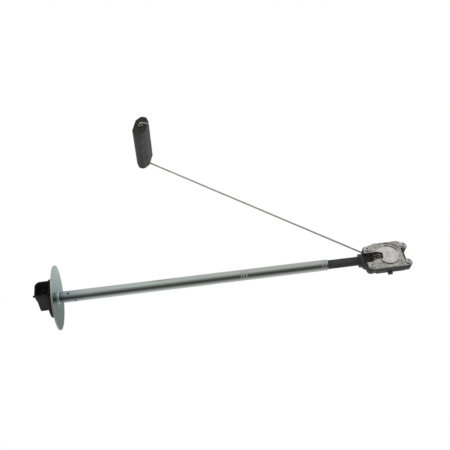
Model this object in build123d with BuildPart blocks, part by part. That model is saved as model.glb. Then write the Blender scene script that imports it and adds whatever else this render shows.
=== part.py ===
from build123d import *
import os
from math import cos, radians, sin, tan

# Fuel level sender: a flange with a plug head, a crimped tube, a moulded housing and a float on a wire arm.
# Millimetres. The origin is the centre of the flange's underside, the face that seals on the tank.
# +Z points up and out of the tank, the tube hangs down along -Z, the cover plate faces -Y,
# and the float arm swings in the XZ plane towards +X.

# Flange and tube
flange_radius = 33.9
flange_thickness = 1.5
flange_edge_round = 0.4
tube_radius = 6.0
tube_wall = 1.0
tube_length = 288.8
vent_radius = 1.1
vent_drops = (11.1, 17.8)
vent_cut_margin = 1.0
weld_ring_width = 0.9
weld_ring_height = 1.6
weld_ring_toe = 0.3
weld_seat_margin = 2.0
weld_seat_depth = 0.3

# Crimps that hold the moulded stem in the tube: groups of rolled vees
crimp_width = 1.6
crimp_depth = 0.4
upper_crimp_rise = 89.1
upper_crimp_pitch = 2.9
upper_crimp_count = 3
lower_crimp_margin = 2.4
lower_crimp_pitch = 3.2
lower_crimp_count = 2

# Connector head
head_base_radius = 20.2
head_base_height = 6.5
head_base_round = 1.0
socket_width = 17.0
socket_height = 15.7
socket_bottom = 4.1
socket_wall = 1.2
socket_corners = (2.2, 5.6, 1.4, 4.0)
socket_least_corner = 0.4
socket_mouth = 22.0
socket_depth = 14.0
socket_step = 0.6
socket_flare = 0.3
socket_collar_length = 10.3
head_back = 9.6
head_back_round = 1.2
latch_width = 1.6
latch_length = 2.6
latch_height = 1.8
latch_setback = 0.6
latch_inset = 0.6
spigot_length = 8.0
gasket_thickness = 0.8
gasket_inner_radius = 8.5
gasket_width = 8.5

# Terminals and leads
pin_width = 2.8
pin_thickness = 0.8
pin_pitch = 5.6
pin_reach = 6.0
pin_chamfer = 0.3
lead_radius = 0.75
lead_pitch = 1.9
lead_bend_limit = 20.0
lead_bend_share = 0.45
lead_fans = (
    ((3.7, 23.6, 1.9), (5.2, 17.6, 3.3), (4.6, 12.2, 3.4)),
    ((0.4, 23.6, 1.7), (1.9, 15.6, 2.9), (0.1, 11.2, 3.1)),
)
lead_bore_radius = 2.6
grommet_length = 4.0

# Moulded carrier: stem, collar, neck and housing box
# Heights are measured towards the cover plate, from the tube's axis
stem_overlap = 100.8
stem_gap = 0.1
stem_shown = 35.7
collar_radius = 7.4
collar_length = 3.2
neck_shoulder = 6.7
neck_taper = 3.6
neck_length = 29.6
neck_low = 9.4
neck_high = 7.4
neck_height = 1.6
neck_back = 5.8
box_low = 14.6
box_high = 17.0
box_right = 18.6
box_left = 16.8
box_wall = 1.8
box_corner = 2.0
box_back = 7.2
floor_thickness = 1.8
boss_radius = 4.7
boss_back = 5.6
boss_web_width = 6.6
boss_web_inset = 0.6
lug_width = 4.8
lug_reach = 2.2
lug_front = 5.8
lug_back = 8.8

# Cover plate, its raised cap and its screws
plate_seat = 2.7
plate_thickness = 1.3
plate_top = 17.4
plate_bottom = 14.5
plate_slope_start = 12.5
plate_slope_end = -15.1
plate_right_high = -15.9
plate_right_low = -16.4
lobe_radius = 4.0
lobe_shoulder = 2.8
screw_pitch_long = 41.0
screw_pitch_short = 21.2
screw_offset_long = 1.0
screw_offset_short = 0.3
ridge_radii = (12.6, 15.6)
ridge_width = 1.2
ridge_depth = 0.6
ridge_start = 5.0
ridge_sweep = -64.0
cap_radius = 10.4
cap_height = 1.5
cap_edge_round = 0.5
cap_spigot_radius = 3.2
cap_spigot_length = 1.9
cap_neck_reach = 14.0
cap_neck_width = 3.6
cap_neck_waist = (10.2, 7.0)
cap_neck_lip = 0.4
slot_end = 6.2
slot_high = 6.3
slot_low = 5.4
slot_high_rise = 8.2
slot_low_rise = 13.2
slot_floor = (3.8, 0.4)
slot_toe = (-4.0, 1.2)
slot_waist = (-2.3, 7.6)
screw_head_radius = 2.9
screw_head_height = 1.8
screw_head_round = 1.1
screw_radius = 1.4
screw_length = 8.5
screw_clearance = 0.2
screw_hole_margin = 0.5
recess_width = 1.1
recess_length = 3.2
recess_depth = 1.1

# Pivot, rotor and resistor board inside the housing
shaft_radius = 2.0
shaft_nose_radius = 1.5
running_gap = 0.05
snug_gap = 0.02
face_gap = 0.3
bush_radius = 3.5
bush_flange_radius = 5.2
bush_flange_height = 0.8
bush_rise = 0.8
board_thickness = 0.8
board_edge_gap = 0.4
board_corner = 0.8
board_hole_radius = 5.0
terminal_radius = 0.9
terminal_height = 5.2
terminal_offsets = ((2.0, 1.4), (-2.8, 2.2))
rotor_hub_radius = 4.0
rotor_arm_reach = 11.0
rotor_arm_width = 5.0
rotor_arm_thickness = 1.6
rotor_arm_lift = 1.9
wiper_thickness = 0.3
wiper_width = 3.6
wiper_finger_length = 6.0
wiper_flat = 2.4
wiper_toe = 0.7
wiper_slit = 0.5
wiper_slit_margin = 0.5

# Float arm and lever hub
arm_radius = 1.0
arm_plane = 11.0
arm_length = 313.6
arm_angle = 36.1
arm_bend_radius = 1.9
hook_setback = 7.0
hook_bend_radius = 1.4
hook_room = 0.7
hub_radius = 7.5
hub_rim = 1.1
hub_bar_width = 7.0
hub_bar_reach = 23.0
hub_bar_tail = 9.5
hub_bar_corner = 1.75
hub_groove_margin = 1.0
hub_bridge_length = 3.0
hub_bridge_places = (11.0, 20.0)

# Float
float_length = 59.0
float_long = 31.0
float_thick = 16.0
float_flat = 16.4
float_blunt = 6.4
float_corner_round = 4.0
float_end_round = 1.2
float_turn = -18.2
float_end_gap = 1.3
float_bush_radius = 1.9
washer_radius = 2.7
washer_thickness = 0.9
tip_length = 9.7
tip_bend_radius = 2.0
tip_gap = 2.0
tip_turn = 197.0

# Sizes that follow
tube_top = flange_thickness
tube_bore_radius = tube_radius - tube_wall
stem_radius = tube_bore_radius - stem_gap
stem_top = tube_length - stem_overlap
collar_drop = tube_length + stem_shown
pivot_drop = collar_drop + collar_length + neck_length
crimp_rises = [upper_crimp_rise + i * upper_crimp_pitch for i in reversed(range(upper_crimp_count))]
crimp_rises += [lower_crimp_margin + i * lower_crimp_pitch for i in reversed(range(lower_crimp_count))]
crimp_drops = [tube_length - rise for rise in crimp_rises]
socket_top = socket_bottom + socket_height
socket_middle = socket_bottom + socket_height / 2
cavity_back = socket_mouth - socket_depth
pin_places = (-pin_pitch / 2, pin_pitch / 2)
floor_face = -box_back + floor_thickness
plate_face = plate_seat + plate_thickness
screw_places = [
    (screw_offset_short + side * screw_pitch_short / 2, screw_offset_long + end * screw_pitch_long / 2)
    for side in (1, -1)
    for end in (1, -1)
]
board_face = floor_face + board_thickness
bush_front = floor_face + bush_rise
bush_back = -box_back - bush_flange_height
rotor_back = bush_front + face_gap
rotor_front = plate_face - cap_spigot_length - face_gap
arm_back = rotor_back + rotor_arm_lift
hub_front = bush_back - face_gap
groove_floor = -arm_plane + arm_radius + snug_gap
hub_back = -arm_plane - arm_radius - hub_rim
arm_turn = 90 - arm_angle
float_x = arm_length * sin(radians(arm_angle))
float_z = arm_length * cos(radians(arm_angle)) - pivot_drop
float_back = arm_plane - arm_bend_radius - float_end_gap
float_front = float_back - float_length
washer_front = float_front - face_gap - washer_thickness
tip_plane = washer_front - tip_bend_radius - tip_gap
tip_x = float_x + tip_length * sin(radians(tip_turn))
tip_z = float_z + tip_length * cos(radians(tip_turn))
left_screws = screw_offset_long + screw_pitch_long / 2
right_screws = screw_offset_long - screw_pitch_long / 2
upper_screws = screw_offset_short + screw_pitch_short / 2
lower_screws = screw_offset_short - screw_pitch_short / 2
slot_mouth = left_screws + 2 * lobe_radius
slot_points = [
    (slot_high, slot_mouth),
    (slot_high, slot_end + slot_high_rise),
    (slot_floor[0], slot_end),
    (slot_floor[1], slot_end),
    (slot_toe[0], slot_end + slot_toe[1]),
    (slot_waist[0], slot_end + slot_waist[1]),
    (-slot_low, slot_end + slot_low_rise),
    (-slot_low, slot_mouth),
]
cap_neck_points = [
    (cap_radius, 0),
    cap_neck_waist,
    (slot_high + cap_neck_lip, cap_neck_reach),
    (slot_high - cap_neck_width, cap_neck_reach),
    (0, slot_end),
]
terminal_places = [(across, slot_end + up) for across, up in terminal_offsets]
ridge_arcs = [CenterArc((0, 0), radius, ridge_start, ridge_sweep) for radius in ridge_radii]


def front(height):
    """Plane parallel to the cover plate, height in front of the tube's axis; local X is +X, local Y is +Z."""
    return Plane(origin=(0, -height, -pivot_drop), x_dir=(1, 0, 0), z_dir=(0, -1, 0))


def along_arm(distance, y):
    """Point at a distance from the pivot along the float arm's direction, at a place along Y."""
    across = distance * sin(radians(arm_angle))
    up = distance * cos(radians(arm_angle))
    return (across, y, up - pivot_drop)


def crimped_side(radius, top, bottom):
    """Points down one side of a round wall, with a vee at each crimp that lies between top and bottom."""
    points = [(radius, top)]
    for drop in crimp_drops:
        if bottom < -drop < top:
            points.append((radius, -drop + crimp_width / 2))
            points.append((radius - crimp_depth, -drop))
            points.append((radius, -drop - crimp_width / 2))
    points.append((radius, bottom))
    return points


def lead_route(start, fan, post):
    """Route of one lead, from its terminal in the head down to its post on the resistor board."""
    post_x, post_z = post
    points = [(start, 0, socket_middle - pin_thickness / 2), (start, 0, -collar_drop - collar_length)]
    points += [(x, -height, z - pivot_drop) for x, z, height in fan]
    points.append((post_x, -plate_seat, post_z - pivot_drop))
    points.append((post_x, -board_face - terminal_height, post_z - pivot_drop))
    return points


def corner_radii(points):
    """Bend radius at each corner of a route, so that the bend takes a fixed share of the shorter run."""
    radii = []
    for before, corner, after in zip(points, points[1:], points[2:]):
        run_in = Vector(*corner) - Vector(*before)
        run_out = Vector(*after) - Vector(*corner)
        half_turn = radians(run_in.get_angle(run_out)) / 2
        shorter = min(run_in.length, run_out.length)
        radii.append(min(lead_bend_share * shorter / tan(half_turn), lead_bend_limit))
    return radii


def socket_outline(inset):
    """Flat outline of the plug socket, set in from its outside by an inset; its corners differ."""
    half_width = socket_width / 2 - inset
    low = socket_bottom + inset
    high = socket_top - inset
    with BuildSketch() as outline:
        with BuildLine():
            FilletPolyline(
                (half_width, low),
                (half_width, high),
                (-half_width, high),
                (-half_width, low),
                radius=[max(corner - inset, socket_least_corner) for corner in socket_corners],
                close=True,
            )
        make_face()
    return outline.sketch_local


def polar_point(radius, angle):
    """Point on a flat plane at a radius and an angle in degrees."""
    return (radius * cos(radians(angle)), radius * sin(radians(angle)))


# Plane through the pivot axis and the wiper's arm; local X runs out along the arm, local Y towards -Y
side_plane = Plane(
    origin=(0, 0, -pivot_drop),
    x_dir=(-sin(radians(arm_angle)), 0, -cos(radians(arm_angle))),
    z_dir=(-cos(radians(arm_angle)), 0, sin(radians(arm_angle))),
)
# Plane of the float's rear end; local X runs along its long side
float_plane = Plane(
    origin=(float_x, float_back, float_z),
    x_dir=(cos(radians(float_turn)), 0, sin(radians(float_turn))),
    z_dir=(0, -1, 0),
)

# Flange disc, pressed from sheet, with the tube's hole and a shallow coined seat round it for the weld
with BuildPart() as flange_disc:
    with BuildSketch():
        Circle(flange_radius)
        Circle(tube_radius, mode=Mode.SUBTRACT)
    extrude(amount=flange_thickness)
    rim = flange_disc.edges().filter_by(GeomType.CIRCLE).group_by(SortBy.RADIUS)[-1]
    fillet(rim.sort_by(Axis.Z)[-1], flange_edge_round)
    with BuildSketch():
        Circle(tube_radius + weld_ring_width + weld_seat_margin)
    extrude(amount=weld_seat_depth, mode=Mode.SUBTRACT)

# Weld ring where the tube meets the flange's underside
with BuildPart() as weld_ring:
    with BuildSketch(Plane.XZ):
        with BuildLine():
            Polyline(
                (tube_radius, weld_seat_depth),
                (tube_radius + weld_ring_width, weld_seat_depth),
                (tube_radius + weld_ring_width, -weld_ring_height / 2),
                (tube_radius + weld_ring_toe, -weld_ring_height),
                (tube_radius, -weld_ring_height),
                close=True,
            )
        make_face()
    revolve(axis=Axis.Z)

# Tube with two cross-drilled vents under the flange and rolled crimps over the stem
with BuildPart() as tube:
    with BuildSketch(Plane.XZ):
        with BuildLine():
            outside = crimped_side(tube_radius, tube_top, -tube_length)
            inside = crimped_side(tube_bore_radius, tube_top, -tube_length)
            Polyline(*outside, *reversed(inside), close=True)
        make_face()
    revolve(axis=Axis.Z)
    with BuildSketch(Plane.XZ):
        with Locations((0, -vent_drops[0])):
            Circle(vent_radius)
    extrude(amount=tube_radius + vent_cut_margin, both=True, mode=Mode.SUBTRACT)
    with BuildSketch(Plane.YZ):
        with Locations((0, -vent_drops[1])):
            Circle(vent_radius)
    extrude(amount=tube_radius + vent_cut_margin, both=True, mode=Mode.SUBTRACT)

# Head: round base, sideways plug socket with a latch nose, and a spigot down the tube
with BuildPart() as connector_head:
    with BuildSketch(Plane.XY.offset(flange_thickness)):
        Circle(head_base_radius)
    extrude(amount=head_base_height)
    fillet(connector_head.edges().filter_by(GeomType.CIRCLE).group_by(Axis.Z)[-1], head_base_round)
    with BuildSketch(Plane.XZ.offset(-head_back)):
        add(socket_outline(-socket_flare))
    with BuildSketch(Plane.XZ.offset(socket_mouth - socket_collar_length)):
        add(socket_outline(socket_step))
    loft()
    rear_face = connector_head.faces().filter_by(GeomType.PLANE).filter_by(Axis.Y).sort_by(Axis.Y)[-1]
    fillet(rear_face.edges().sort_by(Axis.Z)[1:], head_back_round)
    with BuildSketch(Plane.XZ.offset(socket_mouth - socket_collar_length)):
        add(socket_outline(0))
    extrude(amount=socket_collar_length)
    latch_side = latch_inset - socket_width / 2
    with BuildSketch(Plane.YZ.offset(latch_side)):
        with BuildLine():
            latch_front = -socket_mouth + latch_setback
            latch_foot = socket_top - socket_corners[2]
            Polyline(
                (latch_front, latch_foot),
                (latch_front, socket_top),
                (latch_front + latch_length / 2, socket_top + latch_height),
                (latch_front + latch_length, socket_top),
                (latch_front + latch_length, latch_foot),
                close=True,
            )
        make_face()
    extrude(amount=latch_width)
    with BuildSketch(Plane.XY.offset(flange_thickness)):
        Circle(stem_radius)
    extrude(amount=-spigot_length - flange_thickness)
    with BuildSketch(Plane.XZ.offset(cavity_back)):
        add(socket_outline(socket_wall))
    extrude(amount=socket_depth, mode=Mode.SUBTRACT)
    with BuildSketch(Plane.XY.offset(-spigot_length)):
        Circle(lead_bore_radius)
    extrude(amount=socket_middle + pin_thickness / 2 + spigot_length, mode=Mode.SUBTRACT)
    with BuildSketch(Plane.XY.offset(flange_thickness)):
        Circle(gasket_inner_radius + gasket_width)
        Circle(gasket_inner_radius, mode=Mode.SUBTRACT)
    extrude(amount=gasket_thickness, mode=Mode.SUBTRACT)
    with BuildSketch(Plane.XZ.offset(-lead_bore_radius)):
        with Locations(*[(x, socket_middle) for x in pin_places]):
            Rectangle(pin_width, pin_thickness)
    extrude(amount=lead_bore_radius + cavity_back, mode=Mode.SUBTRACT)

# Flat gasket between the head and the flange
with BuildPart() as head_gasket:
    with BuildSketch(Plane.XY.offset(flange_thickness)):
        Circle(gasket_inner_radius + gasket_width)
        Circle(gasket_inner_radius, mode=Mode.SUBTRACT)
    extrude(amount=gasket_thickness)

# Blade terminals moulded into the head
terminal_pins = []
for number, place in enumerate(pin_places, start=1):
    with BuildPart() as terminal_pin:
        with BuildSketch(Plane.XZ.offset(-lead_bore_radius)):
            with Locations((place, socket_middle)):
                Rectangle(pin_width, pin_thickness)
        extrude(amount=lead_bore_radius + cavity_back + pin_reach)
        chamfer(terminal_pin.faces().sort_by(Axis.Y)[0].edges(), pin_chamfer)
    terminal_pin.part.label = f"terminal_pin_{number}"
    terminal_pins.append(terminal_pin)

# Carrier: one moulding with the stem, collar, open neck, housing box, screw bosses and lug
with BuildPart() as carrier:
    with BuildSketch(Plane.XZ):
        with BuildLine():
            stem_side = crimped_side(stem_radius, -stem_top, -collar_drop)
            Polyline(
                (0, -stem_top),
                *stem_side,
                (collar_radius, -collar_drop),
                (collar_radius, -collar_drop - collar_length),
                (0, -collar_drop - collar_length),
                close=True,
            )
        make_face()
    revolve(axis=Axis.Z)
    neck_top = pivot_drop - collar_drop - collar_length
    with BuildSketch(front(-neck_back)):
        with BuildLine():
            Polyline(
                (-neck_shoulder, neck_top),
                (neck_shoulder, neck_top),
                (neck_high, neck_top - neck_taper),
                (neck_high, box_left - box_wall),
                (-neck_low, box_left - box_wall),
                (-neck_low, neck_top - neck_taper),
                close=True,
            )
        make_face()
    extrude(amount=neck_back + neck_height)
    box_middle = ((box_high - box_low) / 2, (box_left - box_right) / 2)
    box_wide = box_high + box_low
    box_long = box_left + box_right
    with BuildSketch(front(-box_back)):
        with Locations(box_middle):
            RectangleRounded(box_wide, box_long, box_corner)
    extrude(amount=box_back + plate_seat)
    with BuildSketch(front(-boss_back)):
        with Locations(*screw_places):
            Circle(boss_radius)
        web_length = left_screws - box_left + box_wall
        web_low = lower_screws - boss_radius + boss_web_inset + boss_web_width / 2
        web_high = upper_screws + boss_radius - boss_web_inset - boss_web_width / 2
        web_middle = left_screws - web_length / 2
        with Locations((web_low, web_middle), (web_high, web_middle)):
            Rectangle(boss_web_width, web_length)
    extrude(amount=boss_back + plate_seat)
    with BuildSketch(front(floor_face)):
        with Locations(box_middle):
            Rectangle(box_wide - 2 * box_wall, box_long - 2 * box_wall)
        with Locations(*screw_places):
            Circle(boss_radius, mode=Mode.SUBTRACT)
    extrude(amount=plate_seat - floor_face, mode=Mode.SUBTRACT)
    with BuildSketch(front(-lead_bore_radius)):
        channel_end = box_left - box_wall
        channel_length = neck_top - channel_end
        with Locations(((slot_high - slot_low) / 2, channel_end + channel_length / 2)):
            Rectangle(slot_high + slot_low, channel_length)
    extrude(amount=lead_bore_radius + plate_seat, mode=Mode.SUBTRACT)
    with BuildSketch(Plane.XY.offset(-stem_top)):
        Circle(lead_bore_radius)
    extrude(amount=-(collar_drop + collar_length - stem_top), mode=Mode.SUBTRACT)
    with BuildSketch(front(plate_seat)):
        with Locations(*screw_places):
            Circle(screw_radius + snug_gap)
    extrude(amount=-(screw_length - plate_thickness + screw_hole_margin), mode=Mode.SUBTRACT)
    with BuildSketch(front(floor_face)):
        Circle(bush_radius + snug_gap)
    extrude(amount=-floor_thickness, mode=Mode.SUBTRACT)
    with BuildSketch(front(-lug_back)):
        with Locations((-box_low - (lug_reach - box_wall) / 2, 0)):
            Rectangle(lug_reach + box_wall, lug_width)
    extrude(amount=lug_back - lug_front)

# Rubber grommet that holds the leads in the top of the stem
with BuildPart() as lead_grommet:
    with BuildSketch(Plane.XY.offset(-stem_top)):
        Circle(lead_bore_radius)
        with Locations((-lead_pitch / 2, 0), (lead_pitch / 2, 0)):
            Circle(lead_radius, mode=Mode.SUBTRACT)
    extrude(amount=-grommet_length)

# Cover plate: cast plate with four screw lobes, two curved grooves and the slot for the leads
with BuildPart() as cover_plate:
    with BuildSketch(front(plate_seat)):
        with BuildLine():
            Polyline(
                (upper_screws + lobe_shoulder, left_screws + lobe_shoulder),
                (plate_top, plate_slope_start),
                (plate_top, plate_slope_end),
                (upper_screws + lobe_shoulder, right_screws),
                (upper_screws - lobe_radius, plate_right_high),
                (lower_screws + lobe_radius, plate_right_low),
                (lower_screws, right_screws),
                (-plate_bottom, right_screws),
                (-plate_bottom, left_screws),
                (lower_screws, left_screws + lobe_radius),
                (upper_screws, left_screws + lobe_radius),
                close=True,
            )
        make_face()
        with Locations(*screw_places):
            Circle(lobe_radius)
    extrude(amount=plate_thickness)
    with BuildSketch(front(plate_seat)):
        with BuildLine():
            Polyline(*slot_points, close=True)
        make_face()
        Circle(cap_spigot_radius + snug_gap)
        with Locations(*screw_places):
            Circle(screw_radius + screw_clearance)
    extrude(amount=plate_thickness, mode=Mode.SUBTRACT)
    with BuildSketch(front(plate_face)):
        for arc in ridge_arcs:
            SlotArc(arc, ridge_width)
    extrude(amount=-ridge_depth, mode=Mode.SUBTRACT)

# Pivot cap: raised disc with a neck over the slot, and a spigot that carries the shaft's nose
with BuildPart() as pivot_cap:
    with BuildSketch(front(plate_face)):
        Circle(cap_radius)
    extrude(amount=cap_height)
    fillet(pivot_cap.faces().sort_by(Axis.Y)[0].edges(), cap_edge_round)
    with BuildSketch(front(plate_face)):
        with BuildLine():
            Polyline(*cap_neck_points, close=True)
        make_face()
    extrude(amount=cap_height)
    with BuildSketch(front(plate_face)):
        with BuildLine():
            Polyline(*slot_points, close=True)
        make_face()
    extrude(amount=cap_height, mode=Mode.SUBTRACT)
    with BuildSketch(front(plate_face)):
        Circle(cap_spigot_radius)
    extrude(amount=-cap_spigot_length)
    with BuildSketch(front(plate_face - cap_spigot_length)):
        Circle(shaft_nose_radius + running_gap)
    extrude(amount=cap_spigot_length + cap_height / 2, mode=Mode.SUBTRACT)

# Cover screws: pan heads with a cross recess
cover_screws = []
for number, place in enumerate(screw_places, start=1):
    with BuildPart() as cover_screw:
        with BuildSketch(front(plate_face)):
            with Locations(place):
                Circle(screw_head_radius)
        extrude(amount=screw_head_height)
        fillet(cover_screw.faces().sort_by(Axis.Y)[0].edges(), screw_head_round)
        with BuildSketch(front(plate_face + screw_head_height)):
            with Locations(place):
                Rectangle(recess_length, recess_width)
                Rectangle(recess_width, recess_length)
        extrude(amount=-recess_depth, mode=Mode.SUBTRACT)
        with BuildSketch(front(plate_face)):
            with Locations(place):
                Circle(screw_radius)
        extrude(amount=-screw_length)
    cover_screw.part.label = f"cover_screw_{number}"
    cover_screws.append(cover_screw)

# Flanged bush in the housing floor
with BuildPart() as pivot_bush:
    with BuildSketch(front(bush_back)):
        Circle(bush_flange_radius)
    extrude(amount=bush_flange_height)
    with BuildSketch(front(-box_back)):
        Circle(bush_radius)
    extrude(amount=box_back + bush_front)
    with BuildSketch(front(bush_back)):
        Circle(shaft_radius + running_gap)
    extrude(amount=bush_front - bush_back, mode=Mode.SUBTRACT)

# Resistor board on the housing floor, kept clear of the walls and the two right-hand bosses
with BuildPart() as resistor_board:
    board_low = -box_low + box_wall + board_edge_gap
    board_high = box_high - box_wall - board_edge_gap
    board_left = box_left - box_wall - board_edge_gap
    board_right = right_screws + boss_radius + board_edge_gap
    with BuildSketch(front(floor_face)):
        with Locations(((board_low + board_high) / 2, (board_left + board_right) / 2)):
            RectangleRounded(board_high - board_low, board_left - board_right, board_corner)
        Circle(board_hole_radius, mode=Mode.SUBTRACT)
    extrude(amount=board_thickness)

# Posts on the board where the leads are soldered
board_posts = []
for number, place in enumerate(terminal_places, start=1):
    with BuildPart() as board_post:
        with BuildSketch(front(board_face)):
            with Locations(place):
                Circle(terminal_radius)
        extrude(amount=terminal_height)
    board_post.part.label = f"board_post_{number}"
    board_posts.append(board_post)

# Leads, from the head's terminals down through tube and stem to the board
leads = []
for number, start in enumerate((lead_pitch / 2, -lead_pitch / 2), start=1):
    route = lead_route(start, lead_fans[number - 1], terminal_places[number - 1])
    with BuildPart() as lead:
        with BuildLine() as lead_path:
            FilletPolyline(*route, radius=corner_radii(route))
        with BuildSketch(Plane(origin=lead_path.line @ 0, z_dir=lead_path.line % 0)):
            Circle(lead_radius)
        sweep()
    lead.part.label = f"lead_{number}"
    leads.append(lead)

# Pivot shaft, stepped down to a nose at the cap
with BuildPart() as pivot_shaft:
    shaft_back = groove_floor + snug_gap
    with BuildSketch(front(shaft_back)):
        Circle(shaft_radius)
    extrude(amount=rotor_front - shaft_back)
    with BuildSketch(front(rotor_front)):
        Circle(shaft_nose_radius)
    extrude(amount=plate_face + cap_height / 2 - face_gap - rotor_front)

# Rotor on the shaft, with an arm that carries the wiper
with BuildPart() as rotor:
    with BuildSketch(front(rotor_back)):
        Circle(rotor_hub_radius)
    extrude(amount=rotor_front - rotor_back)
    with BuildSketch(front(arm_back)):
        with PolarLocations(rotor_arm_reach / 2, 1, start_angle=arm_turn + 180):
            Rectangle(rotor_arm_reach, rotor_arm_width)
    extrude(amount=rotor_arm_thickness)
    with BuildSketch(front(rotor_back)):
        Circle(shaft_radius + snug_gap)
    extrude(amount=rotor_front - rotor_back, mode=Mode.SUBTRACT)

# Wiper: a springy strip under the rotor's arm, bent down to two fingers at the board
with BuildPart() as wiper:
    wiper_root = rotor_hub_radius + 2 * snug_gap
    wiper_tip = rotor_arm_reach
    wiper_low = board_face + face_gap + wiper_thickness
    wiper_line = [
        (wiper_root, arm_back),
        (wiper_root + wiper_flat, arm_back),
        (wiper_tip - wiper_toe, wiper_low),
        (wiper_tip, wiper_low + wiper_thickness),
    ]
    with BuildSketch(side_plane):
        with BuildLine():
            Polyline(*wiper_line, *[(x, y - wiper_thickness) for x, y in reversed(wiper_line)], close=True)
        make_face()
    extrude(amount=wiper_width / 2, both=True)
    slit_middle = wiper_tip - wiper_finger_length / 2 + wiper_slit_margin
    with BuildSketch(front(board_face)):
        with PolarLocations(slit_middle, 1, start_angle=arm_turn + 180):
            Rectangle(wiper_finger_length, wiper_slit)
    extrude(amount=arm_back - board_face, mode=Mode.SUBTRACT)

# Lever hub behind the housing: boss and bar with a groove, two bridges and a pocket for the wire's hook
with BuildPart() as lever_hub:
    hub_height = hub_front - hub_back
    groove_width = 2 * (arm_radius + snug_gap)
    with BuildSketch(front(hub_back)):
        Circle(hub_radius)
        with PolarLocations((hub_bar_reach - hub_bar_tail) / 2, 1, start_angle=arm_turn):
            RectangleRounded(hub_bar_reach + hub_bar_tail, hub_bar_width, hub_bar_corner)
    extrude(amount=hub_height)
    groove_tail = hook_setback + arm_radius + snug_gap
    groove_length = hub_bar_reach + hub_groove_margin + groove_tail
    with BuildSketch(front(hub_back)):
        with PolarLocations(groove_length / 2 - groove_tail, 1, start_angle=arm_turn):
            Rectangle(groove_length, groove_width)
    extrude(amount=groove_floor - hub_back, mode=Mode.SUBTRACT)
    with BuildSketch(front(hub_back)):
        with Locations(*[polar_point(place, arm_turn) for place in hub_bridge_places]):
            Rectangle(hub_bridge_length, hub_bar_width, rotation=arm_turn)
    extrude(amount=hub_rim - snug_gap)
    pocket_length = groove_width + hook_room
    with BuildSketch(front(groove_floor)):
        with PolarLocations(groove_tail - pocket_length / 2, 1, start_angle=arm_turn + 180):
            Rectangle(pocket_length, groove_width)
    extrude(amount=hub_front - groove_floor, mode=Mode.SUBTRACT)
    with BuildSketch(front(groove_floor)):
        Circle(shaft_radius + snug_gap)
    extrude(amount=hub_front - groove_floor, mode=Mode.SUBTRACT)

# Float arm: one wire, hooked into the hub, bent through the float and bent over at its tip
with BuildPart() as float_arm:
    wire_points = [
        along_arm(-hook_setback, -hub_front + 2 * running_gap),
        along_arm(-hook_setback, arm_plane),
        along_arm(arm_length, arm_plane),
        (float_x, tip_plane, float_z),
        (tip_x, tip_plane, tip_z),
    ]
    with BuildLine() as arm_path:
        FilletPolyline(*wire_points, radius=[hook_bend_radius, arm_bend_radius, tip_bend_radius])
    with BuildSketch(Plane(origin=arm_path.line @ 0, z_dir=arm_path.line % 0)):
        Circle(arm_radius)
    sweep()

# Float: a bar of closed-cell rubber with eight rounded sides, bored for its bush
with BuildPart() as float_body:
    with BuildSketch(float_plane) as float_section:
        with BuildLine():
            Polyline(
                (float_flat / 2, float_thick / 2),
                (float_long / 2, float_blunt / 2),
                (float_long / 2, -float_blunt / 2),
                (float_flat / 2, -float_thick / 2),
                (-float_flat / 2, -float_thick / 2),
                (-float_long / 2, -float_blunt / 2),
                (-float_long / 2, float_blunt / 2),
                (-float_flat / 2, float_thick / 2),
                close=True,
            )
        make_face()
        fillet(float_section.vertices(), float_corner_round)
    extrude(amount=float_length)
    ends = float_body.faces().filter_by(Axis.Y)
    fillet(ends.edges(), float_end_round)
    with BuildSketch(float_plane):
        Circle(float_bush_radius + snug_gap)
    extrude(amount=float_length, mode=Mode.SUBTRACT)

# Bush through the float, turning on the wire
with BuildPart() as float_bush:
    with BuildSketch(float_plane):
        Circle(float_bush_radius)
        Circle(arm_radius + 2 * running_gap, mode=Mode.SUBTRACT)
    extrude(amount=float_length)

# Washers pressed on the wire at both ends of the float
with BuildPart() as float_washer:
    with BuildSketch(Plane.XZ.offset(-float_front + face_gap)):
        with Locations((float_x, float_z)):
            Circle(washer_radius)
            Circle(arm_radius + snug_gap, mode=Mode.SUBTRACT)
    extrude(amount=washer_thickness)
with BuildPart() as float_stop:
    with BuildSketch(Plane.XZ.offset(-float_back - face_gap)):
        with Locations((float_x, float_z)):
            Circle(washer_radius)
            Circle(arm_radius + snug_gap, mode=Mode.SUBTRACT)
    extrude(amount=-washer_thickness)

flange_disc.part.label = "flange_disc"
weld_ring.part.label = "weld_ring"
tube.part.label = "tube"
connector_head.part.label = "connector_head"
head_gasket.part.label = "head_gasket"
carrier.part.label = "carrier"
lead_grommet.part.label = "lead_grommet"
cover_plate.part.label = "cover_plate"
pivot_cap.part.label = "pivot_cap"
pivot_bush.part.label = "pivot_bush"
resistor_board.part.label = "resistor_board"
pivot_shaft.part.label = "pivot_shaft"
rotor.part.label = "rotor"
wiper.part.label = "wiper"
lever_hub.part.label = "lever_hub"
float_arm.part.label = "float_arm"
float_body.part.label = "float"
float_bush.part.label = "float_bush"
float_washer.part.label = "float_washer"
float_stop.part.label = "float_stop"

os.makedirs("parts", exist_ok=True)
single_pieces = [
    flange_disc, weld_ring, tube, connector_head, head_gasket, carrier, lead_grommet, cover_plate, pivot_cap,
    pivot_bush, resistor_board, pivot_shaft, rotor, wiper, lever_hub, float_arm, float_body, float_bush,
    float_washer, float_stop,
]
for piece in single_pieces + terminal_pins + cover_screws + board_posts + leads:
    export_step(piece.part, f"parts/{piece.part.label}.step")
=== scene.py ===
"""Looks of a fuel level sender: finishes, fine pieces, floor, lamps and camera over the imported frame.

Lengths are written in millimetres and turned to metres by MM. The origin is the centre of the flange's
underside, +Z points out of the tank along the tube, and the cover plate faces -Y.
"""

from __future__ import annotations

import logging
import math
from abc import ABC, abstractmethod
from dataclasses import dataclass
from enum import Enum
from typing import Any, Iterable, Sequence

import bmesh
import bpy
from mathutils import Color, Matrix, Vector

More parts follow.
